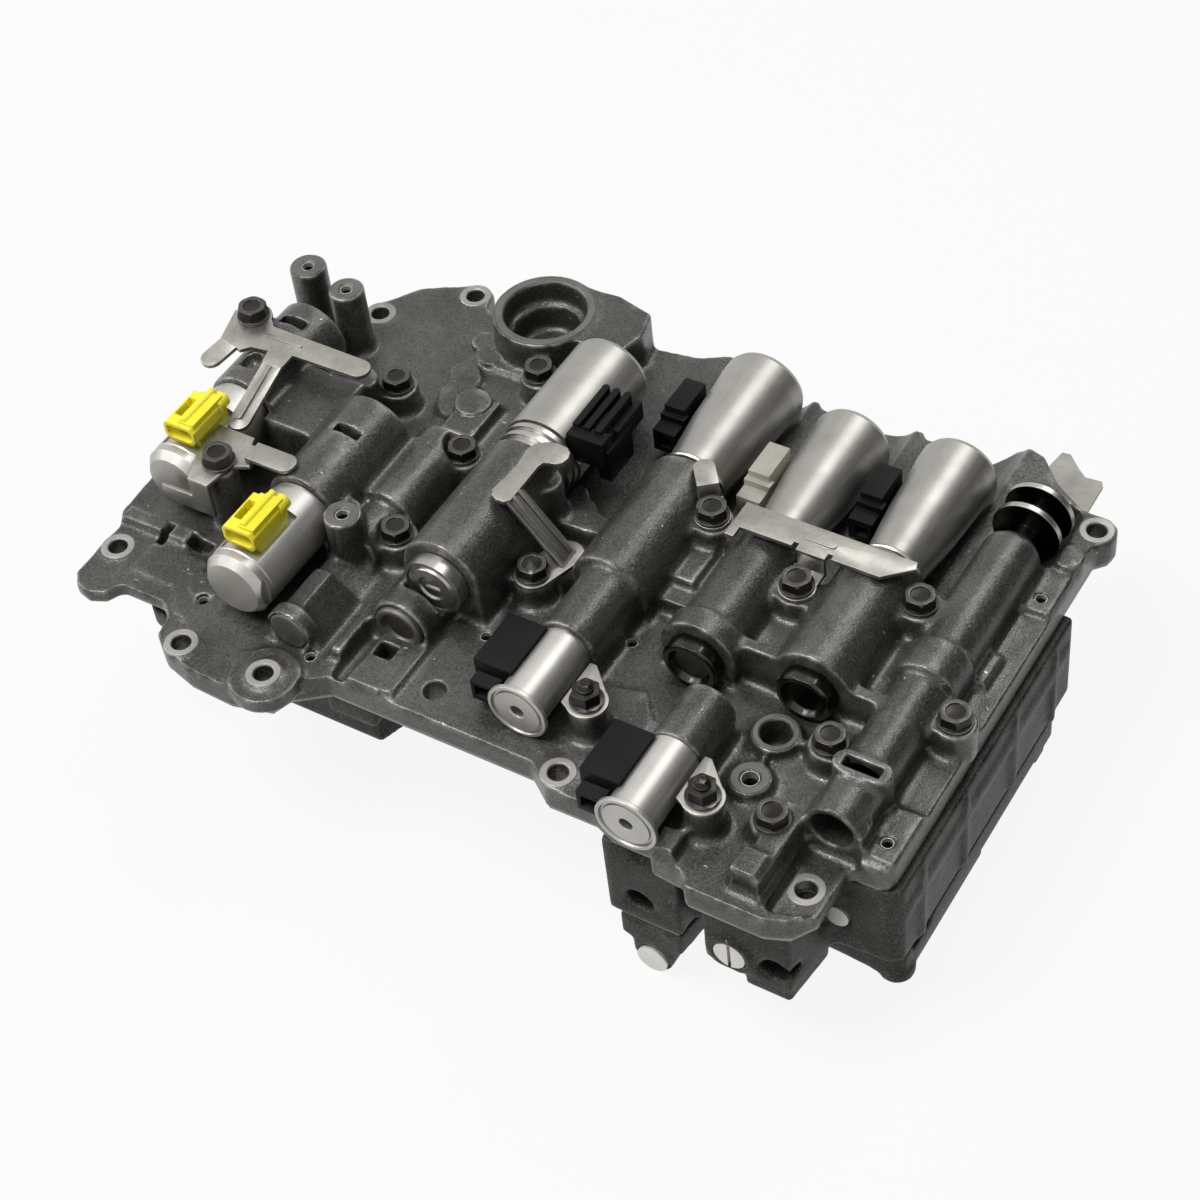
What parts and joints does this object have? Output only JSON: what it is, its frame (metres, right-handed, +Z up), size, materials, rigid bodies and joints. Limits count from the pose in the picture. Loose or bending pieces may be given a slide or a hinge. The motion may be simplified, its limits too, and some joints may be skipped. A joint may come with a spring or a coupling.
{
  "type": "transmission valve body",
  "caption": "Automatic transmission valve body: stacked castings with separator plates, control solenoids, spool valves, spring clips, plugs and a manual valve.",
  "frame": {"origin": "centre of the bounding box on the plane the feet stand on", "axes": "+X along the long side towards the manual valve, +Y along the valve bores towards the back where the large cans stand, +Z up from the feet to the solenoid side"},
  "size_m": [0.3344, 0.2413, 0.1158],
  "materials": {
    "die_cast_aluminium": "die cast, dark and slightly warm",
    "plate_steel": "cold rolled sheet",
    "can_steel": "drawn and satin",
    "ground_steel": "turned and ground",
    "zinc_plated_steel": "dull zinc plate",
    "spring_steel": "drawn wire",
    "anodised_aluminium": "ground and anodised",
    "phosphated_steel": "dark phosphate with oil",
    "black_plastic": "moulded, fine grain",
    "grey_plastic": "moulded, fine grain",
    "yellow_plastic": "moulded, fine grain"
  },
  "bodies": {
    "valve_body": {"upper_body": "die_cast_aluminium", "upper_separator_plate": "plate_steel", "middle_body": "die_cast_aluminium", "lower_separator_plate": "plate_steel", "lower_body": "die_cast_aluminium", "solenoid_a_can": "can_steel", "solenoid_a_connector": "black_plastic", "solenoid_a_sleeve": "ground_steel", "solenoid_b_can": "can_steel", "solenoid_b_connector": "black_plastic", "solenoid_b_sleeve": "ground_steel", "solenoid_c_can": "can_steel", "solenoid_c_connector": "grey_plastic", "solenoid_c_sleeve": "ground_steel", "solenoid_d_can": "can_steel", "solenoid_d_connector": "black_plastic", "solenoid_d_sleeve": "ground_steel", "pressure_solenoid_1_can": "can_steel", "pressure_solenoid_1_connector": "yellow_plastic", "pressure_solenoid_2_can": "can_steel", "pressure_solenoid_2_connector": "yellow_plastic", "shift_solenoid_1_can": "can_steel", "shift_solenoid_1_connector": "black_plastic", "shift_solenoid_1_bracket": "zinc_plated_steel", "shift_solenoid_2_can": "can_steel", "shift_solenoid_2_connector": "black_plastic", "shift_solenoid_2_bracket": "zinc_plated_steel", "regulator_spring_a": "spring_steel", "regulator_spring_b": "spring_steel", "regulator_spring_c": "spring_steel", "regulator_spring_d": "spring_steel", "pressure_spring_1": "spring_steel", "pressure_spring_2": "spring_steel", "shift_spring": "spring_steel", "slotted_plug": "ground_steel", "valve_plug_a": "ground_steel", "valve_plugs": "phosphated_steel", "cup_plug": "ground_steel", "disc_plug": "ground_steel", "face_plug": "ground_steel", "side_plug": "ground_steel", "hook_clip": "zinc_plated_steel", "long_clip": "zinc_plated_steel", "finger_clip": "zinc_plated_steel", "tee_bracket": "zinc_plated_steel", "solenoid_bracket": "zinc_plated_steel", "deck_bolts": "phosphated_steel", "bracket_bolts": "phosphated_steel", "hook_bolt": "phosphated_steel", "bracket_studs": "phosphated_steel"},
    "manual_valve": {"manual_valve": "anodised_aluminium"},
    "shift_valve": {"shift_valve": "anodised_aluminium"},
    "pressure_spool_1": {"pressure_spool_1": "anodised_aluminium"},
    "pressure_spool_2": {"pressure_spool_2": "anodised_aluminium"},
    "regulator_spool_a": {"regulator_spool_a": "anodised_aluminium"},
    "regulator_spool_b": {"regulator_spool_b": "anodised_aluminium"},
    "regulator_spool_c": {"regulator_spool_c": "anodised_aluminium"},
    "regulator_spool_d": {"regulator_spool_d": "anodised_aluminium"}
  },
  "joints": [
    {"name": "manual_valve_slide", "type": "slide", "parent": "valve_body", "child": "manual_valve", "axis": [0, 1, 0], "range_m": [-0.006, 0.01]},
    {"name": "regulator_a_slide", "type": "slide", "parent": "valve_body", "child": "regulator_spool_a", "axis": [0, -1, 0], "range_m": [0, 0.005], "deforming": ["regulator_spring_a"]},
    {"name": "regulator_b_slide", "type": "slide", "parent": "valve_body", "child": "regulator_spool_b", "axis": [0, -1, 0], "range_m": [0, 0.005], "deforming": ["regulator_spring_b"]},
    {"name": "regulator_c_slide", "type": "slide", "parent": "valve_body", "child": "regulator_spool_c", "axis": [0, -1, 0], "range_m": [0, 0.005], "deforming": ["regulator_spring_c"]},
    {"name": "regulator_d_slide", "type": "slide", "parent": "valve_body", "child": "regulator_spool_d", "axis": [0, -1, 0], "range_m": [0, 0.005], "deforming": ["regulator_spring_d"]},
    {"name": "pressure_1_slide", "type": "slide", "parent": "valve_body", "child": "pressure_spool_1", "axis": [0, 1, 0], "range_m": [0, 0.005], "deforming": ["pressure_spring_1"]},
    {"name": "pressure_2_slide", "type": "slide", "parent": "valve_body", "child": "pressure_spool_2", "axis": [0, 1, 0], "range_m": [0, 0.005], "deforming": ["pressure_spring_2"]},
    {"name": "shift_valve_slide", "type": "slide", "parent": "valve_body", "child": "shift_valve", "axis": [0, 1, 0], "range_m": [0, 0.005], "deforming": ["shift_spring"]}
  ]
}
